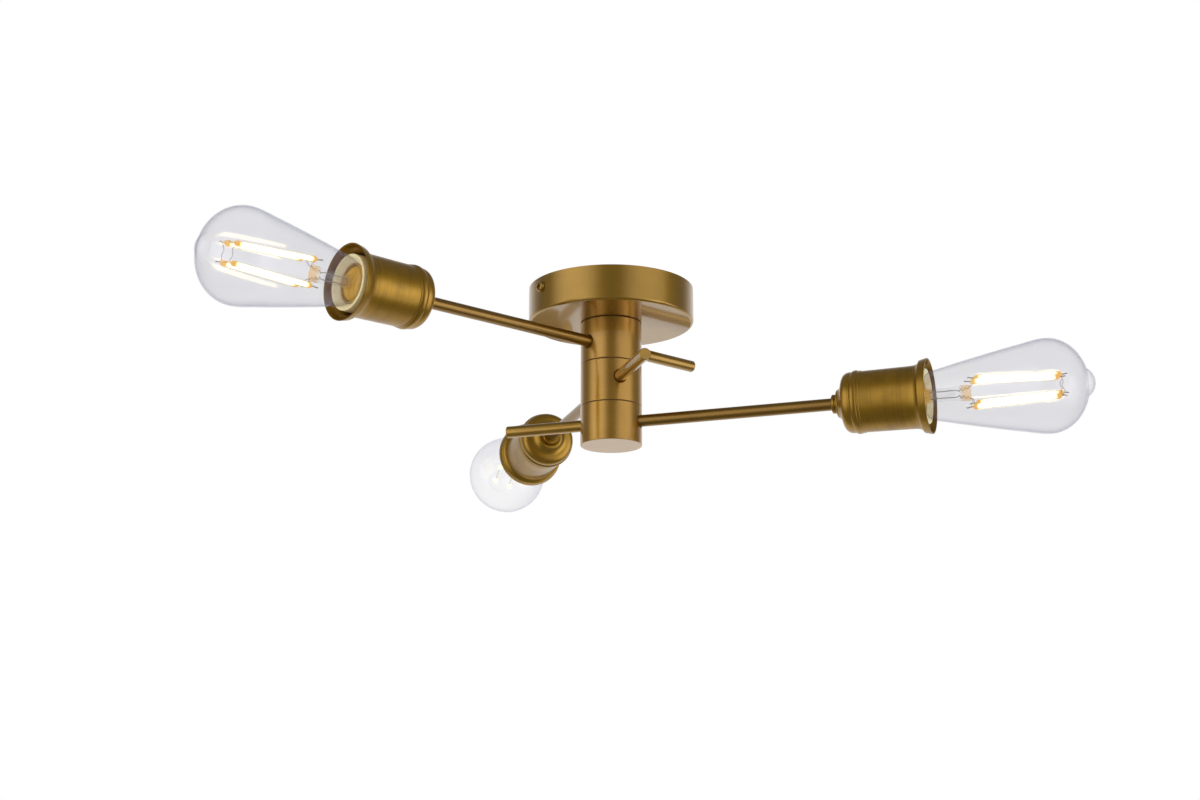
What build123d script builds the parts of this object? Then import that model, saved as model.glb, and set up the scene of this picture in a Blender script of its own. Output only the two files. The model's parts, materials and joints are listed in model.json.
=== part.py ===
from build123d import *
import os
from math import asin, atan2, cos, degrees, radians, sin, sqrt, tan

os.makedirs("parts", exist_ok=True)

# Flush mount ceiling light: a round canopy, three hubs stacked on one hollow stem, and on each hub an
# arm with a lamp cup and a pear-shaped filament bulb. Each hub swivels about the stem.
# Lengths are in millimetres. The origin is the middle of the ceiling face, Z points up into the
# ceiling, and X runs along the mounting bracket, through the two side screws of the canopy.

# Clearances
running_gap = 0.05
slip_gap = 0.05
bulb_gap = 0.35
contact_gap = 0.25

# Canopy, an open pan of spun sheet
canopy_diameter = 119.0
canopy_height = 25.4
canopy_sheet = 1.2
canopy_edge_radius = 2.0

# Mounting bracket, a strip with two ears bent down inside the canopy
bracket_width = 16.0
bracket_thickness = 2.0
bracket_bend_radius = 1.0
bracket_ear_drop = 13.5
bracket_side_gap = 0.15
small_box_spacing = 69.85
large_box_spacing = 88.9
box_slot_width = 4.8
bracket_centre_hole = 11.0
ground_screw_offset = 17.0

# Machine screws of the canopy and of the ground terminal
screw_thread = 4.0
screw_end_bevel = 0.4
side_screw_length = 8.0
side_screw_drop = 7.8
side_screw_hole = 4.6
ground_screw_length = 4.5
screw_head_diameter = 8.0
screw_head_height = 2.6
screw_head_edge = 0.3
screw_head_round = 1.6
screw_cross_width = 1.1
screw_cross_length = 4.6
screw_cross_depth = 1.3

# Hollow stem with its nuts and washers
stem_diameter = 10.0
stem_bore = 7.4
stem_end_bevel = 0.5
stem_top_overrun = 4.0
stem_low_overrun = 2.0
stem_nut_across_flats = 17.0
stem_nut_height = 5.0
stem_washer_diameter = 22.0
stem_washer_height = 1.0
stem_window_width = 5.0
stem_window_length = 11.0

# Hubs
hub_diameter = 44.0
hub_wall = 2.5
hub_web = 3.0
hub_floor = 2.5
hub_edge_round = 0.5
seam = 0.3
seam_ring_inset = 0.5
seam_ring_width = 3.2
lid_height = 4.0
lid_ledge = 1.3
upper_hub_height = 30.7
middle_hub_height = 30.7
lower_hub_height = 28.2

# Arms: how far each axis lies below its hub's top face, and its direction seen from above
upper_arm_drop = 16.7
middle_arm_drop = 13.2
lower_arm_drop = 11.7
upper_arm_azimuth = 187.0
middle_arm_azimuth = 73.0
lower_arm_azimuth = -52.9
arm_diameter = 8.5
arm_bore = 6.5
arm_visible_length = 139.0
arm_thread_overrun = 1.5
arm_end_bevel = 0.3
arm_entry_bevel = 0.6
stub_visible_length = 57.5
arm_nut_across_flats = 12.0
arm_nut_height = 3.0
nut_seat_margin = 0.3

# Collar between the arm and the cup
collar_diameter = 13.2
collar_length = 2.2
collar_neck_diameter = 11.6
collar_neck_length = 1.3
collar_bevel = 0.35

# Cap, the turned back of the cup
cap_neck_diameter = 19.6
cap_neck_round = 1.1
cap_end_wall = 1.2
cap_wall = 0.9
cap_neck_length = 4.75
cap_back_angle = 75.0
cap_flare_radius = 4.5
cap_shoulder_diameter = 42.0
cap_shoulder_radius = 3.5
cap_bead_start = 12.0
cap_bead_length = 6.5
cap_bead_diameter = 44.0
cap_bead_round = 0.6
cap_band_length = 4.4
cap_ring_drop = 0.45
cap_ring_round = 0.3

# Shell, the brushed sleeve of the cup with its flared rim
shell_back_diameter = 42.2
shell_front_diameter = 43.0
shell_wall = 0.9
rim_back_diameter = 49.6
rim_mouth_diameter = 52.0
rim_length = 5.2
rim_fillet = 1.8
rim_round = 0.5
cup_length = 67.5

# Lampholder inside the cup
holder_diameter = 38.0
holder_setback = 1.5
holder_mouth_diameter = 34.8
holder_edge_round = 0.6
holder_funnel_depth = 3.6
holder_floor = 3.0
holder_well_depth = 3.5
holder_well_diameter = 14.0
holder_back_wall = 6.0
holder_back_diameter = 24.0
holder_shoulder_length = 4.0
socket_sheet = 0.4
socket_tongue_width = 4.0
socket_depth = 31.5
spring_height = 6.0
spring_sheet = 0.5
spring_width = 5.0
spring_reach = 9.0
spring_tip_half_length = 2.5
wire_diameter = 2.2
wire_spacing = 3.4
wire_tail = 6.0

# Bulb base
bulb_length = 141.0
base_diameter = 26.0
base_length = 26.8
base_sheet = 0.5
base_toe = 1.5
insulator_length = 3.4
insulator_diameter = 20.8
insulator_tip_diameter = 10.4
insulator_seat = 1.2
contact_diameter = 9.2
contact_height = 1.6
contact_round = 1.0

# Bulb glass, measured forward from the rim of the base
glass_diameter = 64.0
glass_wall = 0.9
glass_seat_depth = 7.5
glass_seat_gap = 0.15
flare_length = 3.6
flare_slope = 45.0
flare_radius = 4.0
flare_end_slope = 7.0
flank_near_reach = 44.2
flank_near_radius = 25.1
flank_far_reach = 66.2
flank_far_radius = 29.4
dome_reach = 27.0
nub_root_radius = 10.2
nub_fillet = 2.0
nub_slope = -36.0

# Glass stem, filaments and their wires inside the bulb, and how far each bulb is turned in its lampholder
mount_setback = 1.8
mount_rim = 1.0
mount_flare_length = 3.0
mount_flare_radius = 6.0
mount_diameter = 9.0
pinch_reach = 32.0
pinch_length = 9.0
pinch_width = 11.0
pinch_thickness = 4.0
pinch_corner_radius = 1.3
filament_count = 4
filament_turn = 45.0
filament_diameter = 1.9
filament_start = 33.5
filament_end = 92.5
filament_start_radius = 12.2
filament_end_radius = 8.9
support_wire_diameter = 0.6
support_root_radius = 1.5
support_gap = 0.1
support_bow = 2.0
upper_bulb_turn = -16.4
middle_bulb_turn = 18.0
lower_bulb_turn = 22.9

# Stations worked out from the sizes above
canopy_r = canopy_diameter / 2
hub_r = hub_diameter / 2
hub_inner_r = hub_r - hub_wall
stem_r = stem_diameter / 2
arm_r = arm_diameter / 2
stem_hole_r = stem_r + running_gap
screw_r = screw_thread / 2
nut_seat_r = arm_nut_across_flats / sqrt(3) + nut_seat_margin
arm_inner_end = hub_inner_r - arm_nut_height - arm_thread_overrun

upper_hub_top = -canopy_height - seam
middle_hub_top = upper_hub_top - upper_hub_height - seam
lower_hub_top = middle_hub_top - middle_hub_height - seam
arms = {
    "upper": (upper_hub_top, upper_hub_height, upper_arm_drop, upper_arm_azimuth, upper_bulb_turn),
    "middle": (middle_hub_top, middle_hub_height, middle_arm_drop, middle_arm_azimuth, middle_bulb_turn),
    "lower": (lower_hub_top, lower_hub_height, lower_arm_drop, lower_arm_azimuth, lower_bulb_turn),
}

cup_back = hub_r + arm_visible_length
cup_mouth = cup_back + cup_length
cap_back = cup_back + collar_length + collar_neck_length
bead_start = cap_back + cap_bead_start
bead_end = bead_start + cap_bead_length
band_end = bead_start + cap_band_length
bulb_tip_contact = cup_mouth - socket_depth
holder_front = cup_mouth - holder_setback
socket_floor = bulb_tip_contact - contact_gap - spring_height
well_front = socket_floor - holder_floor
well_back = well_front - holder_well_depth
holder_back = well_back - holder_back_wall
socket_inner_r = base_diameter / 2 + bulb_gap
socket_outer_r = socket_inner_r + socket_sheet
base_rim = bulb_tip_contact + base_length
bulb_end = bulb_tip_contact + bulb_length


def section(*corners):
    """Closed face through (x, y) corners, where a third number rounds that corner."""
    face = make_face(Polyline(*[corner[:2] for corner in corners], close=True))
    for x, y, radius in [corner for corner in corners if len(corner) == 3]:
        face = fillet(face.vertices().sort_by_distance((x, y))[0], radius)
    return face


def turned(*corners):
    """Solid turned about X from corners of (station, radius)."""
    return revolve(section(*corners), Axis.X)


def turned_upright(*corners):
    """Solid turned about Z from corners of (radius, height)."""
    return revolve(Plane.XZ * section(*corners), Axis.Z)


def bar(start, end, radius):
    """Round bar along X."""
    return turned((start, 0), (start, radius), (end, radius), (end, 0))


def rod(start, end, radius):
    """Round rod between two points in space."""
    start, end = Vector(*start), Vector(*end)
    along = end - start
    return extrude(Plane(start, z_dir=along) * Circle(radius), along.length)


def around_arm(station, radius, angle):
    """Point at a station of the arm, off its axis in the direction of an angle about it."""
    return (station, radius * cos(radians(angle)), radius * sin(radians(angle)))


def hex_nut(across_flats, height, bore_r):
    """Hexagon nut on Z, seated on z = 0, with bevelled corners."""
    corner_r = across_flats / sqrt(3)
    bevel = corner_r - across_flats / 2
    blank = extrude(RegularPolygon(corner_r, 6), height)
    lathe = turned_upright(
        (bore_r, 0), (corner_r - bevel, 0), (corner_r, bevel / 2), (corner_r, height - bevel / 2),
        (corner_r - bevel, height), (bore_r, height))
    return blank & lathe


def pan_head_screw(length):
    """Cross-recessed pan head screw on Z, its head above z = 0 and its shank below."""
    head_r = screw_head_diameter / 2
    body = turned_upright(
        (0, -length), (screw_r - screw_end_bevel, -length), (screw_r, screw_end_bevel - length), (screw_r, 0),
        (head_r, 0, screw_head_edge), (head_r - screw_head_edge, screw_head_height, screw_head_round),
        (0, screw_head_height))
    blade = Pos(0, 0, screw_head_height) * Box(screw_cross_length, screw_cross_width, 2 * screw_cross_depth)
    return body - blade - Rot(0, 0, 90) * blade


# Canopy and its fastenings

def make_canopy():
    inner_r = canopy_r - canopy_sheet
    pan = turned_upright(
        (stem_r + slip_gap, -canopy_height), (canopy_r, -canopy_height, canopy_edge_radius), (canopy_r, 0),
        (inner_r, 0), (inner_r, canopy_sheet - canopy_height, canopy_edge_radius - canopy_sheet),
        (stem_r + slip_gap, canopy_sheet - canopy_height))
    screw_holes = Pos(0, 0, -side_screw_drop) * Rot(0, 90, 0) * Cylinder(side_screw_hole / 2, 3 * canopy_r)
    return pan - screw_holes


def bracket_ear_face():
    """Distance from the middle to the outer face of an ear, whose corners clear the canopy's wall."""
    wall_r = canopy_r - canopy_sheet
    return sqrt(wall_r ** 2 - (bracket_width / 2) ** 2) - bracket_side_gap


def make_bracket():
    ear = bracket_ear_face()
    inside = ear - bracket_thickness
    outer_bend = bracket_bend_radius + bracket_thickness
    strip = section(
        (-ear, -bracket_ear_drop), (-ear, 0, outer_bend), (ear, 0, outer_bend), (ear, -bracket_ear_drop),
        (inside, -bracket_ear_drop), (inside, -bracket_thickness, bracket_bend_radius),
        (-inside, -bracket_thickness, bracket_bend_radius), (-inside, -bracket_ear_drop))
    body = extrude(Plane.XZ * strip, bracket_width / 2, both=True)
    slot_length = (large_box_spacing - small_box_spacing) / 2 + box_slot_width
    slot_centre = (large_box_spacing + small_box_spacing) / 4
    slot = extrude(SlotOverall(slot_length, box_slot_width), -2 * bracket_thickness)
    for side in (-1, 1):
        body -= Pos(side * slot_centre, 0, 0) * slot
    body -= Cylinder(bracket_centre_hole / 2, 4 * bracket_thickness)
    body -= Pos(ground_screw_offset, 0, 0) * Cylinder(screw_r + slip_gap, 4 * bracket_thickness)
    tapped = Rot(0, 90, 0) * Cylinder(screw_r + slip_gap, 3 * ear)
    return body - Pos(0, 0, -side_screw_drop) * tapped


def make_canopy_screws():
    screw = Pos(canopy_r, 0, -side_screw_drop) * Rot(0, 90, 0) * pan_head_screw(side_screw_length)
    return [screw, Rot(0, 0, 180) * screw]


def make_ground_screw():
    head_up = Rot(180, 0, 0) * pan_head_screw(ground_screw_length - bracket_thickness)
    return Pos(ground_screw_offset, 0, -bracket_thickness) * head_up


# Stem

def stem_nut_levels():
    """Underside of the nut above the canopy's plate and top of the nut under the lower hub's lid."""
    upper = canopy_sheet - canopy_height + stem_washer_height
    lower = lower_hub_top - lid_height - stem_washer_height
    return upper, lower


def make_stem():
    upper, lower = stem_nut_levels()
    top = upper + stem_nut_height + stem_top_overrun
    low = lower - stem_nut_height - stem_low_overrun
    bore_r = stem_bore / 2
    end_r = stem_r - stem_end_bevel
    pipe = turned_upright(
        (bore_r, low), (end_r, low), (stem_r, low + stem_end_bevel), (stem_r, top - stem_end_bevel),
        (end_r, top), (bore_r, top))
    slot = Plane.YZ * Rot(0, 0, 90) * SlotOverall(stem_window_length, stem_window_width)
    window = extrude(slot, stem_r, both=True)
    for hub_top, drop in ((upper_hub_top, upper_arm_drop), (middle_hub_top, middle_arm_drop)):
        pipe -= Pos(0, 0, hub_top - drop) * window
    return pipe


def make_stem_nuts():
    upper, lower = stem_nut_levels()
    nut = hex_nut(stem_nut_across_flats, stem_nut_height, stem_r + slip_gap)
    return [Pos(0, 0, upper) * nut, Pos(0, 0, lower - stem_nut_height) * nut]


def make_stem_washers():
    upper, lower = stem_nut_levels()
    hole_r = stem_r + slip_gap
    outer_r = stem_washer_diameter / 2
    washer = turned_upright(
        (hole_r, 0), (outer_r, 0), (outer_r, stem_washer_height), (hole_r, stem_washer_height))
    return [Pos(0, 0, upper - stem_washer_height) * washer, Pos(0, 0, lower) * washer]


def make_seam_rings():
    """One friction ring on the top face of each hub."""
    outer_r = hub_r - seam_ring_inset
    inner_r = outer_r - seam_ring_width
    ring = turned_upright((inner_r, 0), (outer_r, 0), (outer_r, seam), (inner_r, seam))
    return [Pos(0, 0, hub_top) * ring for hub_top in (upper_hub_top, middle_hub_top, lower_hub_top)]


# Hubs, in the arm's own frame: the arm's axis is X and the stem's axis is Z

def bore_for_arm(body):
    """Cuts the two bevelled holes of the arm and its stub and the flat seats of their nuts."""
    hole_r = arm_r + slip_gap
    bevel_start = sqrt(hub_r ** 2 - hole_r ** 2) - arm_entry_bevel
    bevel_end = hub_r + arm_entry_bevel
    bevel_end_r = hole_r + bevel_end - bevel_start
    cutter = bar(-bevel_end, bevel_end, hole_r)
    bevel = turned((bevel_start, 0), (bevel_start, hole_r), (bevel_end, bevel_end_r), (bevel_end, 0))
    return body - cutter - bevel - Rot(0, 0, 180) * bevel - bar(-hub_inner_r, hub_inner_r, nut_seat_r)


def make_open_hub(height, drop):
    """Hub with a web at its top, open below onto the next hub."""
    top, low = drop, drop - height
    shell = turned_upright(
        (stem_hole_r, top), (hub_r, top, hub_edge_round), (hub_r, low, hub_edge_round), (hub_inner_r, low),
        (hub_inner_r, top - hub_web), (stem_hole_r, top - hub_web))
    return bore_for_arm(shell)


def make_closed_hub(height, drop):
    """Lowest hub, a cup with a plain floor and a ledge for its lid."""
    top, low = drop, drop - height
    ledge_r = hub_inner_r + lid_ledge
    shell = turned_upright(
        (0, low), (hub_r, low, hub_edge_round), (hub_r, top, hub_edge_round), (ledge_r, top),
        (ledge_r, top - lid_height), (hub_inner_r, top - lid_height), (hub_inner_r, low + hub_floor),
        (0, low + hub_floor))
    return bore_for_arm(shell)


def make_lid(drop):
    outer_r = hub_inner_r + lid_ledge - slip_gap
    return turned_upright(
        (stem_hole_r, drop), (outer_r, drop), (outer_r, drop - lid_height), (stem_hole_r, drop - lid_height))


# Arm

def make_arm_tube():
    bore_r = arm_bore / 2
    end_r = arm_r - arm_end_bevel
    return turned(
        (arm_inner_end, bore_r), (arm_inner_end, end_r), (arm_inner_end + arm_end_bevel, arm_r),
        (well_back - arm_end_bevel, arm_r), (well_back, end_r), (well_back, bore_r))


def make_arm_stub():
    end = -hub_r - stub_visible_length
    return turned(
        (-arm_inner_end, 0), (-arm_inner_end, arm_r), (end + arm_end_bevel, arm_r),
        (end, arm_r - arm_end_bevel), (end, 0))


def make_hub_nuts():
    nut = Rot(0, 90, 0) * hex_nut(arm_nut_across_flats, arm_nut_height, arm_r + slip_gap)
    seated = Pos(hub_inner_r - arm_nut_height, 0, 0) * nut
    return [seated, Rot(0, 0, 180) * seated]


def make_cup_nut():
    nut = Rot(0, 90, 0) * hex_nut(arm_nut_across_flats, arm_nut_height, arm_r + slip_gap)
    return Pos(cap_back + cap_end_wall, 0, 0) * nut


def make_wires():
    """The pair of insulated leads inside the arm, from the hub to the two terminals of the lampholder."""
    start = arm_inner_end - wire_tail
    lead = bar(start, socket_floor, wire_diameter / 2)
    return [Pos(0, side * wire_spacing / 2, 0) * lead for side in (-1, 1)]


# Cup

def make_collar():
    hole_r = arm_r + slip_gap
    outer_r = collar_diameter / 2
    neck_r = collar_neck_diameter / 2
    neck = cup_back + collar_length
    return turned(
        (cup_back, hole_r), (cup_back, outer_r - collar_bevel), (cup_back + collar_bevel, outer_r),
        (neck - collar_bevel, outer_r), (neck, outer_r - collar_bevel), (neck, neck_r), (cap_back, neck_r),
        (cap_back, hole_r))


def make_cap():
    hole_r = arm_r + slip_gap
    neck_r = cap_neck_diameter / 2
    shoulder_r = cap_shoulder_diameter / 2
    bead_r = cap_bead_diameter / 2
    sleeve_r = shell_back_diameter / 2 + slip_gap
    neck_end = cap_back + cap_neck_length
    back_rise = (shoulder_r - neck_r) / tan(radians(cap_back_angle))
    corner_shift = cap_wall * tan(radians(cap_back_angle / 2))
    return turned(
        (cap_back, hole_r),
        (cap_back, neck_r, cap_neck_round),
        (neck_end, neck_r, cap_flare_radius),
        (neck_end + back_rise, shoulder_r, cap_shoulder_radius),
        (bead_start, shoulder_r),
        (bead_start, bead_r, cap_bead_round),
        (band_end, bead_r, cap_ring_round),
        (band_end + cap_ring_drop, bead_r - cap_ring_drop, cap_ring_round),
        (bead_end, bead_r - cap_ring_drop, cap_ring_round),
        (bead_end, sleeve_r),
        (bead_start, sleeve_r),
        (bead_start, shoulder_r - cap_wall),
        (neck_end + back_rise + corner_shift, shoulder_r - cap_wall, cap_shoulder_radius - cap_wall),
        (neck_end + corner_shift, neck_r - cap_wall, cap_flare_radius + cap_wall),
        (cap_back + cap_end_wall, neck_r - cap_wall),
        (cap_back + cap_end_wall, hole_r))


def make_shell():
    back_r = shell_back_diameter / 2
    front_r = shell_front_diameter / 2
    rim_back_r = rim_back_diameter / 2
    mouth_r = rim_mouth_diameter / 2
    rim_back = cup_mouth - rim_length
    return turned(
        (bead_start, back_r),
        (bead_end, back_r),
        (rim_back, front_r, rim_fillet),
        (rim_back, rim_back_r, rim_round),
        (cup_mouth, mouth_r),
        (cup_mouth, mouth_r - shell_wall),
        (rim_back + shell_wall, rim_back_r - shell_wall),
        (rim_back + shell_wall, front_r - shell_wall),
        (bead_end, back_r - shell_wall),
        (bead_start, back_r - shell_wall))


# Lampholder

def make_lampholder():
    hole_r = arm_r + slip_gap
    outer_r = holder_diameter / 2
    well_r = holder_well_diameter / 2
    cavity_r = socket_outer_r + slip_gap
    funnel_back = holder_front - holder_funnel_depth
    body = turned(
        (holder_back, hole_r), (holder_back, holder_back_diameter / 2),
        (holder_back + holder_shoulder_length, outer_r), (holder_front, outer_r, holder_edge_round),
        (holder_front, holder_mouth_diameter / 2), (funnel_back, cavity_r), (socket_floor, cavity_r),
        (socket_floor, 0), (well_front, 0), (well_front, well_r), (well_back, well_r), (well_back, hole_r))
    wire_hole = bar(well_back, socket_floor + holder_floor, wire_diameter / 2 + slip_gap)
    for side in (-1, 1):
        body -= Pos(0, side * wire_spacing / 2, 0) * wire_hole
    return body


def make_screw_shell():
    front = holder_front - holder_funnel_depth
    sleeve = turned(
        (socket_floor, socket_inner_r), (socket_floor, socket_outer_r), (front, socket_outer_r),
        (front, socket_inner_r))
    tongue_length = socket_inner_r + socket_sheet / 2 - spring_sheet
    tongue = Box(
        socket_sheet, tongue_length, socket_tongue_width, align=(Align.MIN, Align.MAX, Align.CENTER))
    return sleeve + Pos(socket_floor, -spring_sheet, 0) * tongue


def make_socket_contact():
    """Spring strip from the foot on the floor up to the middle, where the bulb's tip presses on it."""
    foot = socket_floor + spring_sheet / 2
    tip = socket_floor + spring_height - spring_sheet / 2
    bend = Polyline((foot, spring_sheet), (foot, spring_reach), (tip, spring_tip_half_length),
                    (tip, -spring_tip_half_length))
    strip = trace(bend, spring_sheet)
    return extrude(strip, spring_width / 2, both=True)


# Bulb

def make_bulb_base():
    outer_r = base_diameter / 2
    toe_r = insulator_diameter / 2
    toe = bulb_tip_contact + contact_height + insulator_length
    inner_r = outer_r - base_sheet
    return turned(
        (toe - base_toe, toe_r + slip_gap), (toe, outer_r), (base_rim, outer_r), (base_rim, inner_r),
        (toe + base_sheet, inner_r), (toe - base_toe + base_sheet, toe_r + slip_gap))


def make_bulb_end():
    """Black insulator of the base and the solder button on its tip."""
    tip_r = contact_diameter / 2
    insulator = bulb_tip_contact + contact_height
    button = turned(
        (bulb_tip_contact, 0), (bulb_tip_contact, tip_r, contact_round), (insulator, tip_r), (insulator, 0))
    toe = insulator + insulator_length - base_toe
    cone = turned(
        (insulator, 0), (insulator, insulator_tip_diameter / 2), (toe, insulator_diameter / 2),
        (toe + insulator_seat, insulator_diameter / 2), (toe + insulator_seat, 0))
    return [button, cone]


def glass_tip(inset):
    """Dome and nub of the glass, from the widest station at 0, for a line that lies inside its face."""
    root_angle = degrees(asin(nub_root_radius / (glass_diameter / 2 - inset)))
    dome = EllipticalCenterArc(
        (0, 0), dome_reach - inset, glass_diameter / 2 - inset, 90, arc_size=root_angle - 90)
    dome_heading = degrees(atan2((dome % 1).Y, (dome % 1).X))
    root = JernArc(dome @ 1, dome % 1, nub_fillet + inset, nub_slope - dome_heading)
    nub_radius = (root @ 1).Y / cos(radians(nub_slope))
    nub = JernArc(root @ 1, root % 1, nub_radius, -90 - nub_slope)
    return [dome, root, nub]


def glass_line(inset):
    """Line of the glass from its seat inside the base to the axis, at a depth inside the outer face."""
    seat_r = base_diameter / 2 - base_sheet - glass_seat_gap - inset
    widest = bulb_end - (glass_tip(0)[-1] @ 1).X
    rim = base_rim + inset * tan(radians(flare_slope / 2))
    flare_run = flare_length + inset * (1 - cos(radians(flare_slope)))
    seat = Line((base_rim - glass_seat_depth, seat_r), (rim, seat_r))
    flare = Line(seat @ 1, (rim + flare_run, seat_r + flare_run * tan(radians(flare_slope))))
    neck = JernArc(flare @ 1, flare % 1, flare_radius - inset, flare_end_slope - flare_slope)
    flank = Spline(
        neck @ 1, (base_rim + flank_near_reach, flank_near_radius - inset),
        (base_rim + flank_far_reach, flank_far_radius - inset), (widest, glass_diameter / 2 - inset),
        tangents=(neck % 1, (1, 0)))
    return [seat, flare, neck, flank] + [Pos(widest, 0, 0) * curve for curve in glass_tip(inset)]


def make_bulb_glass():
    outer = glass_line(0)
    inner = glass_line(glass_wall)
    ends = [Line(outer[0] @ 0, inner[0] @ 0), Line(outer[-1] @ 1, inner[-1] @ 1)]
    return revolve(make_face(outer + inner + ends), Axis.X)


def make_bulb_stem():
    """Flared glass mount that carries the wires, pinched flat at its front."""
    flare_r = base_diameter / 2 - base_sheet - 2 * glass_seat_gap - glass_wall
    mount_r = mount_diameter / 2
    back = base_rim - mount_setback
    front = base_rim + pinch_reach
    pinch_back = front - pinch_length
    mount = turned(
        (back, 0), (back, flare_r), (back + mount_rim, flare_r),
        (back + mount_flare_length, mount_r, mount_flare_radius), (pinch_back, mount_r), (pinch_back, 0))
    flat = Plane.YZ * RectangleRounded(pinch_width, pinch_thickness, pinch_corner_radius)
    return mount + Pos(pinch_back, 0, 0) * extrude(flat, pinch_length)


def filament_angles():
    return [filament_turn + turn * 360 / filament_count for turn in range(filament_count)]


def make_filaments():
    start, end = base_rim + filament_start, base_rim + filament_end
    return [
        rod(around_arm(start, filament_start_radius, angle), around_arm(end, filament_end_radius, angle),
            filament_diameter / 2)
        for angle in filament_angles()]


def make_filament_wires():
    """Leads that fan out from the pinch to each filament, and bows that join the far ends in pairs."""
    wire_r = support_wire_diameter / 2
    clear = wire_r + support_gap
    pinch_front = base_rim + pinch_reach
    angles = filament_angles()
    wires = [
        rod(around_arm(pinch_front + clear, support_root_radius, angle),
            around_arm(base_rim + filament_start - clear, filament_start_radius, angle), wire_r)
        for angle in angles]
    tip = base_rim + filament_end + clear
    half_turn = 180 / filament_count
    for angle in angles[1::2]:
        bow = ThreePointArc(
            around_arm(tip, filament_end_radius, angle),
            around_arm(tip + support_bow, filament_end_radius * cos(radians(half_turn)), angle + half_turn),
            around_arm(tip, filament_end_radius, angle + 2 * half_turn))
        wires.append(sweep(Plane(bow @ 0, z_dir=bow % 0) * Circle(wire_r), bow))
    return wires


def write(node, shapes):
    """Writes one node, a single solid or a group of equal pieces."""
    shapes = shapes if isinstance(shapes, list) else [shapes]
    solids = [solid for shape in shapes for solid in shape.solids()]
    export_step(Compound(solids) if len(solids) > 1 else solids[0], f"parts/{node}.step")


def write_all(name, pieces, place):
    for piece, shapes in pieces.items():
        shapes = shapes if isinstance(shapes, list) else [shapes]
        write(f"{name}_{piece}", [place * shape for shape in shapes])


def write_arm(name, top, height, drop, azimuth, bulb_turn):
    place = Pos(0, 0, top - drop) * Rot(0, 0, azimuth)
    pieces = {
        "hub": make_closed_hub(height, drop) if name == "lower" else make_open_hub(height, drop),
        "arm_tube": make_arm_tube(),
        "arm_stub": make_arm_stub(),
        "arm_nuts": make_hub_nuts() + [make_cup_nut()],
        "arm_wires": make_wires(),
        "cup_collar": make_collar(),
        "cup_cap": make_cap(),
        "cup_shell": make_shell(),
        "lampholder": make_lampholder(),
        "screw_shell": make_screw_shell(),
        "socket_contact": make_socket_contact(),
    }
    if name == "lower":
        pieces["hub_lid"] = make_lid(drop)
    write_all(name, pieces, place)
    bulb = {
        "bulb_base": make_bulb_base(),
        "bulb_end_contact": make_bulb_end(),
        "bulb_glass": make_bulb_glass(),
        "bulb_stem": make_bulb_stem(),
        "bulb_filaments": make_filaments(),
        "bulb_wires": make_filament_wires(),
    }
    write_all(name, bulb, place * Rot(bulb_turn, 0, 0))


def main():
    write("canopy", make_canopy())
    write("mounting_bracket", make_bracket())
    write("canopy_screws", make_canopy_screws())
    write("ground_screw", make_ground_screw())
    write("stem", make_stem())
    write("stem_nuts", make_stem_nuts())
    write("stem_washers", make_stem_washers())
    write("seam_rings", make_seam_rings())
    for name, sizes in arms.items():
        write_arm(name, *sizes)


main()
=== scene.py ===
import json
import math

import bmesh
import bpy
from mathutils import Euler, Matrix, Vector


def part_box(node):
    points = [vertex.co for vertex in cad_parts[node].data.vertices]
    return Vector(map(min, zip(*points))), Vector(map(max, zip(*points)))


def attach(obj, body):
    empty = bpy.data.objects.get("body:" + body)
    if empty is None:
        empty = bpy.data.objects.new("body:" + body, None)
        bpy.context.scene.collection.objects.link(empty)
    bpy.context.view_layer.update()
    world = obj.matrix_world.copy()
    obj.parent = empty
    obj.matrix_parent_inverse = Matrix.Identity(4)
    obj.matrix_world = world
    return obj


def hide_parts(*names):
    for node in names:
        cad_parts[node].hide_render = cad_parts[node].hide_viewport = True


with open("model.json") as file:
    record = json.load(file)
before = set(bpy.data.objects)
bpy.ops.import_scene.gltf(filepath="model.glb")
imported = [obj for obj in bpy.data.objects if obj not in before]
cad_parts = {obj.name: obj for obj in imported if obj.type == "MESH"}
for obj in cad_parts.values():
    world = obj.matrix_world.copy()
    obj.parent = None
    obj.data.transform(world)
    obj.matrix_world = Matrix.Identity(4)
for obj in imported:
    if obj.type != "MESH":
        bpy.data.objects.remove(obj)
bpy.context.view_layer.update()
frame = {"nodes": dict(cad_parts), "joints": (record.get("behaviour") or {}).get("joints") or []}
nodes = frame["nodes"]
joints = {joint["name"]: joint for joint in frame["joints"]}

ARMS = ("upper", "middle", "lower")
MM = 0.001

# Bulbs, as in the CAD, with stations measured forward from the rim of the base
BULB_TURNS = {"upper": -16.4, "middle": 18.0, "lower": 22.9}
FILAMENT_ANGLES = (45.0, 135.0, 225.0, 315.0)
FILAMENT_START = 33.5 * MM
FILAMENT_END = 92.5 * MM
FILAMENT_START_RADIUS = 12.2 * MM
FILAMENT_END_RADIUS = 8.9 * MM
FILAMENT_GLOW_RADIUS = 2.3 * MM
FILAMENT_NEAR_FADE = (3.0 * MM, 7.5 * MM)
FILAMENT_FAR_FADE = (6.0 * MM, 2.0 * MM)
FILAMENT_CORE_LEVEL = 10.0
FILAMENT_EDGE_LEVEL = 1.0
PINCH_REACH = 32.0 * MM
PINCH_LENGTH = 8.0 * MM
THREAD_PITCH = 3.629 * MM

# Camera: 1.40 m from the stem's axis, below the ceiling and looking a little up
CAMERA_DISTANCE = 1.396
CAMERA_AZIMUTH = -124.0
CAMERA_HEIGHT = -0.4563
VIEW_AZIMUTH = 56.33
VIEW_PITCH = 15.007
LENS = 60.61
SENSOR = 36.0

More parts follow.
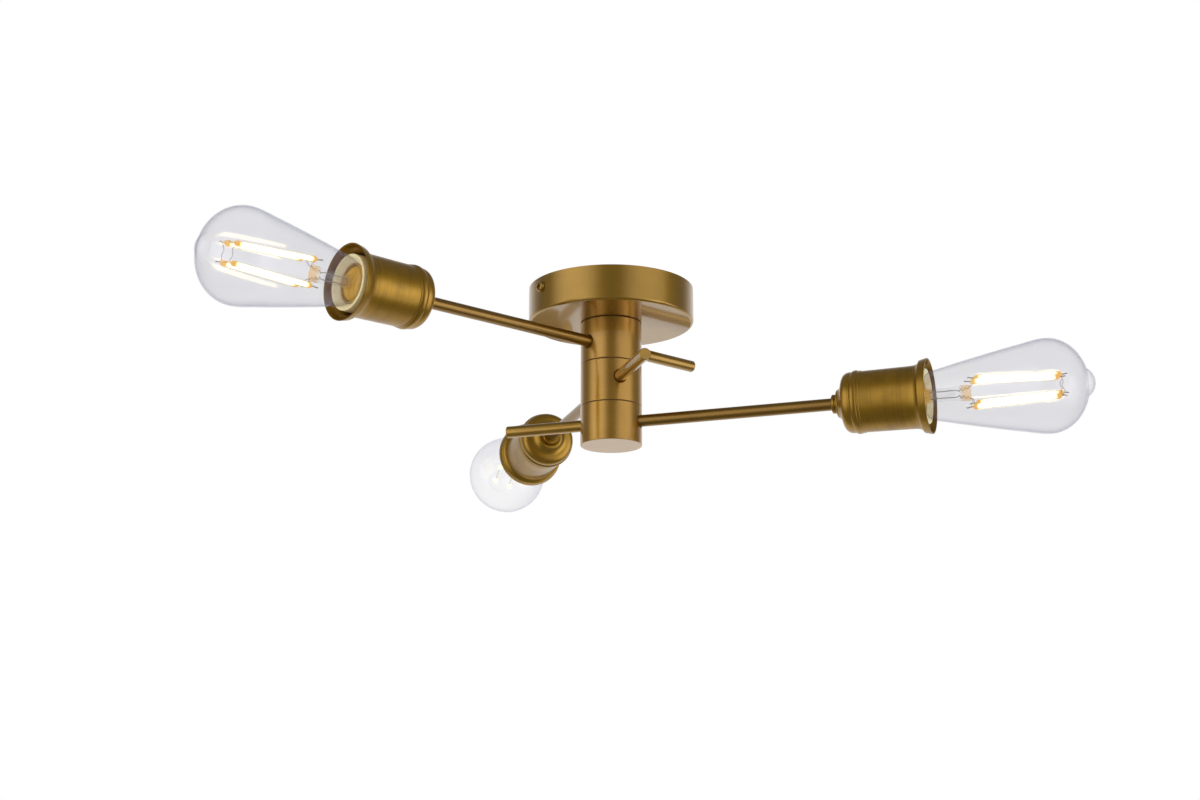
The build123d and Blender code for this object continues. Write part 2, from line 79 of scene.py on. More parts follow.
# Studio: lamps' turns and raises in degrees from the camera's side, and edges as angles where they fade
FLOOR_LEVEL = -2.4
FLOOR_RADIUS = 14.0
FLOOR_FADE_START = 2.5
FLOOR_FADE_END = 7.0
SOFTBOX_TURNS = (-52.0, 49.0, 76.0)
SOFTBOX_RAISES = (2.0, 6.0, -12.0)
SOFTBOX_LEVELS = (1.05, 0.7, 1.25)
SOFTBOX_EDGES = ((46.0, 6.0), (42.0, 6.0), (32.0, 4.0))
FRONT_SHADE = 0.25
FRONT_SHADE_RAISE = -12.0
FRONT_SHADE_EDGES = (44.0, 22.0)
AMBIENT = 0.6
MIRROR_BACK = 0.8
MIRROR_FRONT = 0.16
MIRROR_TILT = 0.25
MIRROR_BAND = (-0.88, -0.35)


def direction(azimuth, elevation=0.0):
    """Unit vector towards an azimuth and elevation in degrees."""
    a, e = math.radians(azimuth), math.radians(elevation)
    return Vector((math.cos(a) * math.cos(e), math.sin(a) * math.cos(e), math.sin(e)))


# Node helpers

class Graph:
    """A node tree with short calls to add and join nodes."""

    def __init__(self, tree):
        self.tree = tree
        tree.nodes.clear()

    def add(self, kind, inputs=(), **settings):
        node = self.tree.nodes.new(kind)
        for key, value in settings.items():
            setattr(node, key, value)
        for key, value in dict(inputs).items():
            if isinstance(value, bpy.types.NodeSocket):
                self.tree.links.new(value, node.inputs[key])
            else:
                node.inputs[key].default_value = value
        return node

    def math(self, operation, a, b=0.0):
        return self.add("ShaderNodeMath", {0: a, 1: b}, operation=operation).outputs[0]

    def dot(self, vector, axis):
        return self.vector("DOT_PRODUCT", {0: vector, 1: axis}, "Value")

    def remap(self, value, low, high, to_low=0.0, to_high=1.0, smooth=False):
        kind = "SMOOTHSTEP" if smooth else "LINEAR"
        inputs = {"Value": value, 1: low, 2: high, 3: to_low, 4: to_high}
        return self.add("ShaderNodeMapRange", inputs, interpolation_type=kind).outputs["Result"]

    def mix_colour(self, factor, a, b):
        node = self.add("ShaderNodeMix", data_type="RGBA")
        for socket, value in ((node.inputs[0], factor), (node.inputs[6], a), (node.inputs[7], b)):
            if isinstance(value, bpy.types.NodeSocket):
                self.tree.links.new(value, socket)
            else:
                socket.default_value = value
        return node.outputs[2]

    def noise(self, vector, scale, detail=2.0, roughness=0.5):
        inputs = {"Vector": vector, "Scale": scale, "Detail": detail, "Roughness": roughness}
        return self.add("ShaderNodeTexNoise", inputs).outputs["Fac"]

    def bump(self, height, strength, distance):
        inputs = {"Height": height, "Strength": strength, "Distance": distance}
        return self.add("ShaderNodeBump", inputs).outputs[0]

    def vector(self, operation, inputs, output=0):
        return self.add("ShaderNodeVectorMath", inputs, operation=operation).outputs[output]

    def object_point(self):
        return self.add("ShaderNodeTexCoord").outputs["Object"]


def new_material(name):
    material = bpy.data.materials.new(name)
    material.use_nodes = True
    return material, Graph(material.node_tree)


def finish_material(graph, shader):
    graph.add("ShaderNodeOutputMaterial", {"Surface": shader})


def lathe_point(graph, origin, axis):
    """The point (station, radius, 0) about an axis, on which a pattern makes rings round a turned piece."""
    moved = graph.vector("SUBTRACT", {0: graph.object_point(), 1: origin})
    station = graph.dot(moved, axis)
    along = graph.vector("SCALE", {0: axis, "Scale": station})
    radius = graph.vector("LENGTH", {0: graph.vector("SUBTRACT", {0: moved, 1: along})}, "Value")
    return graph.add("ShaderNodeCombineXYZ", {0: station, 1: radius}).outputs[0]


# Materials

BRASS_LIGHT = (0.44, 0.240, 0.014, 1.0)
BRASS_DEEP = (0.40, 0.212, 0.011, 1.0)
BRASS_STREAK = (0.27, 0.145, 0.008, 1.0)
# Arm tube colours: a darker copy of the fixture's brass, painted shade on the arms
SHADED_ROD_PALE = (0.30, 0.155, 0.014, 1.0)
SHADED_ROD_DEEP = (0.27, 0.136, 0.012, 1.0)
# Hub colours: a lighter copy of the fixture's brass, painted light on the hubs
LIT_HUB_PALE = (0.53, 0.280, 0.030, 1.0)
LIT_HUB_DEEP = (0.49, 0.250, 0.024, 1.0)


def satin_brass(name, origin, axis, brush, light=BRASS_LIGHT, deep=BRASS_DEEP, coat=1.0, coat_ior=1.5):
    """Lacquered satin brass with fine lines in rings about an axis, as strong as brush says."""
    material, graph = new_material(name)
    point = graph.object_point()
    cloud = graph.noise(point, 45.0)
    grain = graph.noise(point, 2600.0, 3.0)
    drift = graph.noise(point, 90.0)
    rings = graph.noise(lathe_point(graph, origin, axis), 900.0, 6.0, 0.75)
    rings = graph.math("MULTIPLY", rings, graph.remap(drift, 0.2, 0.8, 0.6, 1.4))
    colour = graph.mix_colour(graph.remap(cloud, 0.3, 0.7), light, deep)
    colour = graph.mix_colour(graph.remap(rings, 0.35, 0.7, 0.0, 0.75 * brush), colour, BRASS_STREAK)
    roughness = graph.remap(grain, 0.3, 0.7, 0.25, 0.31)
    roughness = graph.math("ADD", roughness, graph.math("MULTIPLY", rings, 0.18 * brush))
    height = graph.math("ADD", grain, graph.math("MULTIPLY", rings, 5.0 * brush))
    shader = graph.add("ShaderNodeBsdfPrincipled", {
        "Base Color": colour, "Metallic": 0.85, "Roughness": roughness,
        "Normal": graph.bump(height, 0.12, 0.00004),
        "Coat Weight": coat, "Coat Roughness": 0.06, "Coat IOR": coat_ior})
    finish_material(graph, shader.outputs[0])
    return material


def plain_metal(name, light, dark, roughness, metallic=1.0):
    """Bare or plated metal, a little cloudy and grained."""
    material, graph = new_material(name)
    point = graph.object_point()
    cloud = graph.noise(point, 120.0, 4.0)
    grain = graph.noise(point, 3000.0)
    shader = graph.add("ShaderNodeBsdfPrincipled", {
        "Base Color": graph.mix_colour(graph.remap(cloud, 0.3, 0.7), light, dark),
        "Metallic": metallic,
        "Roughness": graph.remap(grain, 0.2, 0.8, roughness - 0.05, roughness + 0.08),
        "Normal": graph.bump(grain, 0.15, 0.00003)})
    finish_material(graph, shader.outputs[0])
    return material


def plastic(name, light, dark, roughness, subsurface=0.0):
    """Moulded plastic, fibre or rubber, a little cloudy and grained."""
    material, graph = new_material(name)
    point = graph.object_point()
    cloud = graph.noise(point, 60.0, 3.0)
    grain = graph.noise(point, 1800.0)
    shader = graph.add("ShaderNodeBsdfPrincipled", {
        "Base Color": graph.mix_colour(graph.remap(cloud, 0.3, 0.7), light, dark),
        "Roughness": graph.remap(grain, 0.2, 0.8, roughness - 0.04, roughness + 0.06),
        "Subsurface Weight": subsurface, "Subsurface Radius": (0.004, 0.003, 0.002), "Subsurface Scale": 1.0,
        "Normal": graph.bump(grain, 0.1, 0.00005)})
    finish_material(graph, shader.outputs[0])
    return material


GLASS_MIRROR = 0.028
GLASS_IOR = 1.2
# Painted filament light: amber glow and opacity painted into the stem glass at its seat and at its pinch
PAINTED_GLOW_AMBER = (1.0, 0.58, 0.06, 1.0)
PAINTED_GLOW_BEHIND = 0.3
PAINTED_GLOW_BEYOND = 0.34
PAINTED_GLOW_FADE = 3.0 * MM


def clear_glass(name, tint, haze, rim, mirror=0.22, painted_glow_ends=None):
    """Thin clear glass that rays cross without bending, darker and more mirror-like towards the rim.
    With painted_glow_ends, it is painted amber and less clear behind the first station and beyond the second:
    painted filament light glowing in the glass there."""
    material, graph = new_material(name)
    drift = graph.noise(graph.object_point(), 18.0, 1.0)
    facing = graph.add("ShaderNodeLayerWeight", {"Blend": 0.5}).outputs["Facing"]
    steep = graph.math("POWER", facing, 5.0)
    alpha = graph.remap(drift, 0.3, 0.7, haze * 0.9, haze * 1.1)
    alpha = graph.math("ADD", graph.math("MULTIPLY", steep, rim), alpha)
    colour = graph.mix_colour(drift, tint, tuple(0.9 * part for part in tint[:3]) + (1.0,))
    # Painted light: amber and extra opacity where filament light would glow in the glass
    if painted_glow_ends is not None:
        back, front = painted_glow_ends
        station = graph.add("ShaderNodeSeparateXYZ", {0: graph.object_point()}).outputs[0]
        behind = graph.remap(station, back, back + PAINTED_GLOW_FADE, 1.0, 0.0, smooth=True)
        beyond = graph.remap(station, front, front + PAINTED_GLOW_FADE, smooth=True)
        colour = graph.mix_colour(graph.math("MAXIMUM", behind, beyond), colour, PAINTED_GLOW_AMBER)
        alpha = graph.math("ADD", alpha, graph.math("MULTIPLY", beyond, PAINTED_GLOW_BEYOND))
        alpha = graph.math("ADD", alpha, graph.math("MULTIPLY", behind, PAINTED_GLOW_BEHIND))
    body = graph.add("ShaderNodeBsdfPrincipled", {
        "Base Color": colour, "Roughness": 0.05, "IOR": GLASS_IOR, "Alpha": alpha}).outputs[0]
    share = graph.math("ADD", graph.math("MULTIPLY", steep, mirror), GLASS_MIRROR)
    gloss = graph.add("ShaderNodeBsdfGlossy", {"Color": (0.92, 0.92, 1.0, 1), "Roughness": 0.02}).outputs[0]
    finish_material(graph, graph.add("ShaderNodeMixShader", {0: share, 1: body, 2: gloss}).outputs[0])
    return material


FILAMENT_CORE = (1.0, 0.93, 0.74, 1.0)
FILAMENT_EDGE = (1.0, 0.84, 0.5, 1.0)
FILAMENT_MIRRORED = (1.0, 0.76, 0.38, 1.0)


def lit_filament(name, end_colour, end_level):
    """Glowing coating drawn as wide as its glow: white in the middle, fading warm and clear towards its edges
    as a painted halo of light, with dimmer warm ends.
    """
    material, graph = new_material(name)
    point = graph.object_point()
    station = graph.add("ShaderNodeSeparateXYZ", {0: point}).outputs[0]
    speckle = graph.math("MULTIPLY", graph.noise(point, 900.0), 0.0008)
    station = graph.math("ADD", station, speckle)
    near_start, near_end = (FILAMENT_START + distance for distance in FILAMENT_NEAR_FADE)
    far_start, far_end = (FILAMENT_END - distance for distance in FILAMENT_FAR_FADE)
    near = graph.remap(station, near_start, near_end, 1.0, 0.0, smooth=True)
    far = graph.remap(station, far_start, far_end, smooth=True)
    end = graph.math("MAXIMUM", near, far)
    facing = graph.add("ShaderNodeLayerWeight", {"Blend": 0.5}).outputs["Facing"]
    edge = graph.remap(facing, 0.0, 0.4, smooth=True)
    colour = graph.mix_colour(end, graph.mix_colour(edge, FILAMENT_CORE, FILAMENT_EDGE), end_colour)
    # Painted reflection: seen in glossy surfaces, the filament takes a warmer colour of its own
    mirrored = graph.add("ShaderNodeLightPath").outputs["Is Glossy Ray"]
    colour = graph.mix_colour(mirrored, colour, FILAMENT_MIRRORED)
    along = graph.remap(edge, 0.0, 1.0, FILAMENT_CORE_LEVEL, FILAMENT_EDGE_LEVEL)
    strength = graph.remap(end, 0.0, 1.0, along, end_level)
    glow = graph.add("ShaderNodeEmission", {"Color": colour, "Strength": strength}).outputs[0]
    clear = graph.add("ShaderNodeBsdfTransparent").outputs[0]
    fade = graph.remap(facing, 0.12, 0.82, smooth=True)
    finish_material(graph, graph.add("ShaderNodeMixShader", {0: fade, 1: glow, 2: clear}).outputs[0])
    return material


ORIGIN = (0.0, 0.0, 0.0)
UP = (0.0, 0.0, 1.0)
fixture_brass = satin_brass("satin_brass_fixture", ORIGIN, UP, 0.15, coat_ior=1.55)
# The hubs get a lighter copy of the same brass: painted light
lit_hub_brass = satin_brass("satin_brass_hub", ORIGIN, UP, 0.15, LIT_HUB_PALE, LIT_HUB_DEEP, coat_ior=1.55)
zinc = plain_metal("zinc_steel", (0.72, 0.72, 0.70, 1), (0.55, 0.56, 0.56, 1), 0.32)
green = plain_metal("green_steel", (0.06, 0.32, 0.12, 1), (0.04, 0.24, 0.09, 1), 0.38, metallic=0.6)
fibre = plastic("dark_fibre", (0.035, 0.03, 0.028, 1), (0.02, 0.018, 0.017, 1), 0.6)
insulation = plastic("wire_insulation", (0.75, 0.74, 0.70, 1), (0.68, 0.67, 0.64, 1), 0.45)
cream = plastic("cream_plastic", (0.92, 0.80, 0.49, 1), (0.86, 0.72, 0.41, 1), 0.3, 0.35)
socket_brass = plain_metal("socket_brass", (0.90, 0.58, 0.15, 1), (0.80, 0.48, 0.10, 1), 0.3, metallic=0.6)
base_metal = plain_metal("base_metal", (0.94, 0.70, 0.24, 1), (0.88, 0.60, 0.17, 1), 0.3, metallic=0.5)
black = plastic("black_insulator", (0.02, 0.02, 0.022, 1), (0.012, 0.012, 0.014, 1), 0.25)
glass = clear_glass("clear_glass", (0.10, 0.10, 0.24, 1), 0.062, 0.34)
# The middle bulb gets a clearer copy of the same glass, so it is painted lighter than the others
lit_back_glass = clear_glass("clear_glass_back", (0.12, 0.12, 0.30, 1), 0.006, 0.24)
# The stem glass gets painted amber filament glow at its seat and at its pinch
stem_glass = clear_glass("stem_glass", (0.60, 0.58, 0.50, 1), 0.03, 0.2, 0.06,
                         (4.0 * MM, PINCH_REACH - PINCH_LENGTH))
filament = lit_filament("filament_coating", (1.0, 0.56, 0.13, 1.0), 0.95)
back_filament = lit_filament("filament_coating_back", (1.0, 0.85, 0.5, 1.0), 2.0)
wire = plain_metal("bright_wire", (0.80, 0.72, 0.60, 1), (0.62, 0.54, 0.44, 1), 0.3)

by_slot = {
    "satin_brass": fixture_brass, "zinc_steel": zinc, "green_steel": green, "dark_fibre": fibre,
    "wire_insulation": insulation, "cream_plastic": cream, "socket_brass": socket_brass,
    "base_metal": base_metal, "black_insulator": black, "clear_glass": glass, "stem_glass": stem_glass,
    "filament_coating": filament, "bright_wire": wire,
}
for node in nodes.values():
    for slot in node.material_slots:
        slot.material = by_slot[slot.material.name.split(".")[0]]


def arm_axis(name):
    """A point on the arm's axis, at the stem, and the direction out along the arm."""
    low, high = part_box(f"{name}_arm_stub")
    axis = Vector(joints[f"{name}_bulb_removal"]["axis"]).normalized()
    return Vector((0.0, 0.0, (low.z + high.z) / 2)), axis


turned_brass, brushed_brass = {}, {}
for name in ARMS:
    origin, axis = arm_axis(name)
    brushed_brass[name] = satin_brass(f"satin_brass_{name}_shell", origin, axis, 1.0, coat=0.45)
    turned_brass[name] = satin_brass(f"satin_brass_{name}_turned", origin, axis, 0.35, coat=0.6)
    # The arm tubes get a darker copy of the same brass: painted shade
    shaded_rod_brass = satin_brass(f"satin_brass_{name}_rod", origin, axis, 0.2, SHADED_ROD_PALE, SHADED_ROD_DEEP, 0.7)
    brass_pieces = {"cup_shell": brushed_brass[name], "cup_cap": turned_brass[name],
                    "cup_collar": turned_brass[name], "arm_tube": shaded_rod_brass, "hub": lit_hub_brass}
    for piece, material in brass_pieces.items():
        nodes[f"{name}_{piece}"].material_slots[0].material = material


# Meshes in an arm's own frame: X runs out along the arm, Z is up, and the origin is on the stem's axis

def arm_matrix(name, start=0.0, turn=0.0):
    """The arm's frame, moved out to a station and turned about the arm."""
    origin, axis = arm_axis(name)
    side = Vector(UP).cross(axis)
    turned_frame = Matrix((axis, side, Vector(UP))).transposed().to_4x4()
    return Matrix.Translation(origin) @ turned_frame @ Matrix.Translation((start, 0, 0)) @ Euler(
        (math.radians(turn), 0, 0)).to_matrix().to_4x4()


def node_reach(name, node):
    """Least and greatest distance of a CAD node from the stem, along the arm."""
    origin, axis = arm_axis(name)
    reaches = [(vertex.co - origin).dot(axis) for vertex in nodes[f"{name}_{node}"].data.vertices]
    return min(reaches), max(reaches)


def round_point(station, radius, angle):
    """Point off the arm's axis in the direction of an angle in degrees about it."""
    return Vector((station, radius * math.cos(math.radians(angle)), radius * math.sin(math.radians(angle))))


def add_skin(shape, rings, loop=False):
    """Skin over rings of equally many points, closed by end caps or by joining the last ring to the first."""
    rows = [[shape.verts.new(point) for point in ring] for ring in rings]
    pairs = list(zip(rows, rows[1:])) + ([(rows[-1], rows[0])] if loop else [])
    for near, far in pairs:
        for i, corner in enumerate(near):
            shape.faces.new((near[i - 1], corner, far[i], far[i - 1]))
    if not loop:
        shape.faces.new(rows[0])
        shape.faces.new(rows[-1])


def add_tube(shape, points, radii, sides):
    """Round tube along a line of points, with a radius at each."""
    points = [Vector(point) for point in points]
    side, rings = None, []
    for i, (point, radius) in enumerate(zip(points, radii)):
        ahead = (points[min(i + 1, len(points) - 1)] - points[max(i - 1, 0)]).normalized()
        side = ahead.orthogonal() if side is None else side - ahead * side.dot(ahead)
        side.normalize()
        across = ahead.cross(side)
        turns = [2 * math.pi * k / sides for k in range(sides)]
        rings.append([point + radius * (side * math.cos(t) + across * math.sin(t)) for t in turns])
    add_skin(shape, rings)


def smooth_line(points, steps=5):
    """Points of a smooth line through the given ones."""
    points = [Vector(point) for point in points]
    padded = [2 * points[0] - points[1]] + points + [2 * points[-1] - points[-2]]
    line = []
    for a, b, c, d in zip(padded, padded[1:], padded[2:], padded[3:]):
        for k in range(steps):
            t = k / steps
            line.append(0.5 * (2 * b + (c - a) * t + (2 * a - 5 * b + 4 * c - d) * t * t
                               + (3 * b - a - 3 * c + d) * t ** 3))
    return line + [points[-1]]


def add_wire(shape, points, radius):
    line = smooth_line(points)
    add_tube(shape, line, [radius] * len(line), 8)


def lathe_rings(outline, sides):
    """Rings about X through (station, radius) points given in mm."""
    return [[round_point(x * MM, r * MM, 360 * k / sides) for k in range(sides)] for x, r in outline]


def make_piece(name, shape, material, matrix, body, slot, node, own_frame=False):
    """Turns a finished mesh into a piece that rides on a body and stands for a CAD node.
    With own_frame, its points stay in the arm's frame, where its material measures along X."""
    bmesh.ops.recalc_face_normals(shape, faces=shape.faces)
    if not own_frame:
        shape.transform(matrix)
        matrix = Matrix.Identity(4)
    mesh = bpy.data.meshes.new(name)
    shape.to_mesh(mesh)
    shape.free()
    mesh.polygons.foreach_set("use_smooth", [True] * len(mesh.polygons))
    mesh.materials.append(material)
    piece = bpy.data.objects.new(name, mesh)
    bpy.context.scene.collection.objects.link(piece)
    piece.matrix_world = matrix
    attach(piece, body)
    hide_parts(node)
    if slot in ("clear_glass", "stem_glass"):  # light passes it as if it weren't there
        piece.visible_shadow = False
        piece.visible_diffuse = False


# Bulb

def filament_line(angle):
    """Both ends of a filament stick's middle line."""
    near = round_point(FILAMENT_START, FILAMENT_START_RADIUS, angle)
    far = round_point(FILAMENT_END, FILAMENT_END_RADIUS, angle)
    return near, far


def make_filaments(name, matrix, material):
    """Four coated sticks with rounded ends, drawn as wide as the painted glow around them."""
    shape = bmesh.new()
    rounding = [(FILAMENT_GLOW_RADIUS * back, FILAMENT_GLOW_RADIUS * width)
                for back, width in ((0.0, 0.35), (0.3, 0.75), (0.8, 0.97), (1.5, 1.0))]
    widths = [width for _, width in rounding]
    for angle in FILAMENT_ANGLES:
        near, far = filament_line(angle)
        along = (far - near).normalized()
        points = [near + along * back for back, _ in rounding]
        points += [far - along * back for back, _ in reversed(rounding)]
        add_tube(shape, points, widths + widths[::-1], 16)
    make_piece(f"{name}_filament_sticks", shape, material, matrix, f"{name}_bulb", "filament_coating",
               f"{name}_bulb_filaments", own_frame=True)


def make_filament_wires(name, matrix):
    """Crimped leads through the glass stem, fans to the sticks' near tabs, and bows between the far tabs."""
    shape = bmesh.new()
    thin, lead, tab = 0.22 * MM, 0.3 * MM, 0.38 * MM
    pinch_front = PINCH_REACH - 1.0 * MM
    crimped = ((-1.0, 2.4), (12.0, 2.2), (22.0, 2.4), (24.2, 1.4), (25.6, 3.4), (27.0, 1.6), (28.4, 3.8),
               (29.8, 2.6))
    for side in (1, -1):
        root = Vector((pinch_front, 0, side * 4.0 * MM))
        add_wire(shape, [(x * MM, 0, side * z * MM) for x, z in crimped] + [root], lead)
    for angle in FILAMENT_ANGLES:
        near, far = filament_line(angle)
        along = (far - near).normalized()
        outer = round_point(0, 1, angle)
        upward = 1 if angle < 180 else -1
        sideways = 1 if angle in (FILAMENT_ANGLES[0], FILAMENT_ANGLES[3]) else -1
        weld = near - along * 1.6 * MM
        add_wire(shape, [near + along * 1.0 * MM, weld, near - along * 3.4 * MM + outer * 0.5 * MM,
                         near - along * 4.0 * MM - outer * 0.1 * MM], tab)
        root = Vector((pinch_front, sideways * 0.5 * MM, upward * 4.0 * MM))
        add_wire(shape, [root, root + Vector((1.9 * MM, sideways * 0.9 * MM, upward * 0.6 * MM)),
                         weld.lerp(root, 0.5) + Vector((1.5 * MM, 0, upward * 0.8 * MM)),
                         weld + Vector((0.6 * MM, 0, 0)), weld - along * 0.8 * MM - outer * 0.3 * MM], thin)
        add_wire(shape, [far - along * 0.8 * MM, far + along * 1.6 * MM,
                         far + along * 3.2 * MM + outer * 0.6 * MM], tab)
    for first, second in ((FILAMENT_ANGLES[1], FILAMENT_ANGLES[2]), (FILAMENT_ANGLES[3], FILAMENT_ANGLES[0])):
        ends = []
        for angle in (first, second):
            near, far = filament_line(angle)
            ends.append(far + (far - near).normalized() * 1.3 * MM)
        low, high = ends
        inward = Vector((-2.2 * MM, 0, 0))
        bow = [low.lerp(high, share) + inward * depth
               for share, depth in ((0.15, 0.4), (0.4, 1.0), (0.62, 0.5), (0.85, 0.9))]
        add_wire(shape, [low] + bow + [high], thin)
    make_piece(f"{name}_filament_wires", shape, wire, matrix, f"{name}_bulb", "bright_wire",
               f"{name}_bulb_wires")


def make_glass_stem(name, matrix):
    """Hollow flared tube, squeezed flat and solid at its front, where the leads leave it."""
    shape = bmesh.new()
    turns = [2 * math.pi * k / 48 for k in range(48)]

    def oval(station, half_width, half_height):
        return [Vector((station, half_width * math.cos(t), half_height * math.sin(t))) for t in turns]

    outside = [(-1.8, 11.2, 11.2), (-0.8, 11.2, 11.2), (-0.2, 9.2, 9.2), (0.4, 7.2, 7.2), (1.4, 5.6, 5.6),
               (3.4, 4.7, 4.7), (7.0, 4.5, 4.5), (16.0, 4.5, 4.5), (20.0, 4.3, 4.6), (23.0, 3.2, 5.1),
               (25.5, 2.2, 5.4), (28.0, 1.9, 5.5), (31.0, 1.9, 5.5), (31.8, 1.6, 5.2), (32.0, 1.0, 4.6)]
    inside = [(21.5, 0.4, 1.6), (20.5, 1.4, 2.4), (18.0, 3.0, 3.4), (14.0, 3.7, 3.7), (7.0, 3.7, 3.7),
              (3.4, 3.9, 3.9), (1.6, 4.7, 4.7), (0.6, 6.2, 6.2), (-0.2, 8.0, 8.0), (-1.2, 10.2, 10.2),
              (-1.8, 10.6, 10.6)]
    add_skin(shape, [oval(x * MM, a * MM, b * MM) for x, a, b in outside[::-1] + inside[::-1]])
    make_piece(f"{name}_glass_stem", shape, stem_glass, matrix, f"{name}_bulb", "stem_glass",
               f"{name}_bulb_stem", own_frame=True)


# Glass in mm: seat in the base, flare out of it, flank as (station, radius, slope), elliptic dome, round nub
GLASS_WALL = 0.55
GLASS_SIDES = 224
GLASS_SEAT = (-7.5, 12.35)
GLASS_FLARE = (3.6, 15.95)
GLASS_FLANK = ((5.94, 17.09, 0.13), (24.0, 20.85, 0.215), (44.2, 25.1, 0.205), (66.2, 29.4, 0.18),
               (83.2, 32.0, 0.0))
GLASS_DOME_REACH = 27.0
GLASS_NUB_ROOT = 10.2
GLASS_NUB_FILLET = 2.0
GLASS_NUB_SLOPE = -36.0


def arc_points(start, heading, end_heading, radius, steps):
    """Points of an arc from a point on, between two headings in degrees."""
    bend = 1 if end_heading > heading else -1
    points = []
    for step in range(1, steps + 1):
        now = math.radians(heading + (end_heading - heading) * step / steps)
        first = math.radians(heading)
        points.append((start[0] + bend * radius * (math.sin(now) - math.sin(first)),
                       start[1] - bend * radius * (math.cos(now) - math.cos(first))))
    return points


def flank_points(steps):
    """Points of the glass's flank, as smooth cubic spans."""
    points = []
    for (x0, y0, m0), (x1, y1, m1) in zip(GLASS_FLANK, GLASS_FLANK[1:]):
        run = x1 - x0
        for step in range(steps):
            t = step / steps
            ends = (2 * t ** 3 - 3 * t * t + 1) * y0 + (3 * t * t - 2 * t ** 3) * y1
            slopes = (t ** 3 - 2 * t * t + t) * m0 + (t ** 3 - t * t) * m1
            points.append((x0 + run * t, ends + run * slopes))
    return points


def glass_outline():
    """Outer line of the pear-shaped glass in mm, from the back of its seat to the tip of its nub."""
    line = [GLASS_SEAT, (-1.0, GLASS_SEAT[1]), (-0.4, GLASS_SEAT[1] + 0.05), (0.5, GLASS_SEAT[1] + 0.5)]
    line += [(2.0, 14.35), GLASS_FLARE] + arc_points(GLASS_FLARE, 45.0, 7.0, 4.0, 8)[:-1] + flank_points(14)
    widest, across, _ = GLASS_FLANK[-1]
    root = math.asin(GLASS_NUB_ROOT / across)
    for step in range(37):
        t = math.pi / 2 + (root - math.pi / 2) * step / 36
        line.append((widest + GLASS_DOME_REACH * math.cos(t), across * math.sin(t)))
    heading = math.degrees(math.atan2(-across * math.cos(root), GLASS_DOME_REACH * math.sin(root)))
    line += arc_points(line[-1], heading, GLASS_NUB_SLOPE, GLASS_NUB_FILLET, 8)
    nub_radius = line[-1][1] / math.cos(math.radians(GLASS_NUB_SLOPE))
    return line + arc_points(line[-1], GLASS_NUB_SLOPE, -89.6, nub_radius, 20)


def make_bulb_glass(name, matrix, material):
    """Thin blown glass, open inside the base."""
    outer = [Vector(point) for point in glass_outline()]
    inner = []
    for i, point in enumerate(outer):
        along = outer[min(i + 1, len(outer) - 1)] - outer[max(i - 1, 0)]
        inner.append(point + Vector((along.y, -along.x)).normalized() * GLASS_WALL)
    inner[-1].y = outer[-1].y
    shape = bmesh.new()
    add_skin(shape, lathe_rings(inner[::-1] + outer, GLASS_SIDES))
    make_piece(f"{name}_pear_glass", shape, material, matrix, f"{name}_bulb", "clear_glass",
               f"{name}_bulb_glass")


# Cup: outlines as (station, radius) in mm from the back of each piece
CAP_SIDES = 160
CAP_SHEET = 0.9
CAP_NECK = ((0.0, 4.4), (0.0, 8.6), (0.2, 9.3), (0.7, 9.8), (1.3, 10.0))
CAP_BOWL = ((2.2, 10.8), (3.3, 12.1), (4.1, 13.9), (4.6, 16.0), (5.3, 18.1), (6.5, 19.7), (8.3, 20.7),
            (10.2, 21.0), (11.9, 21.0))
CAP_BEAD = ((12.3, 21.15), (12.7, 21.55), (13.3, 21.85), (14.2, 21.98), (15.2, 21.9), (16.0, 21.6),
            (16.5, 21.2), (16.7, 21.05))
CAP_RING = ((17.0, 21.3), (17.5, 21.55), (18.0, 21.45), (18.5, 21.1))
SHELL_SIDES = 192
SHELL_OUTSIDE = ((0.0, 21.1), (6.5, 21.12), (14.0, 21.18), (26.0, 21.32), (37.0, 21.45), (41.0, 21.58),
                 (43.2, 21.85), (44.8, 22.4), (45.8, 23.1), (46.4, 23.9), (46.6, 24.45), (46.8, 24.75),
                 (47.2, 24.95), (49.4, 25.4), (51.5, 25.9), (51.85, 25.95), (52.0, 25.8))
SHELL_INSIDE = ((52.0, 25.25), (51.8, 25.08), (51.3, 24.95), (49.0, 24.4), (48.0, 24.1), (47.3, 23.5),
                (46.5, 22.4), (45.4, 21.4), (43.4, 20.85), (40.0, 20.6), (26.0, 20.4), (6.5, 20.22),
                (0.0, 20.2))


def make_brushed_shell(name):
    """Sleeve of the cup, which sweeps out into its flared rim."""
    low = node_reach(name, "cup_shell")[0]
    shape = bmesh.new()
    add_skin(shape, lathe_rings(SHELL_OUTSIDE + SHELL_INSIDE, SHELL_SIDES), loop=True)
    make_piece(f"{name}_brushed_shell", shape, brushed_brass[name], arm_matrix(name, low), f"{name}_arm",
               "satin_brass", f"{name}_cup_shell")


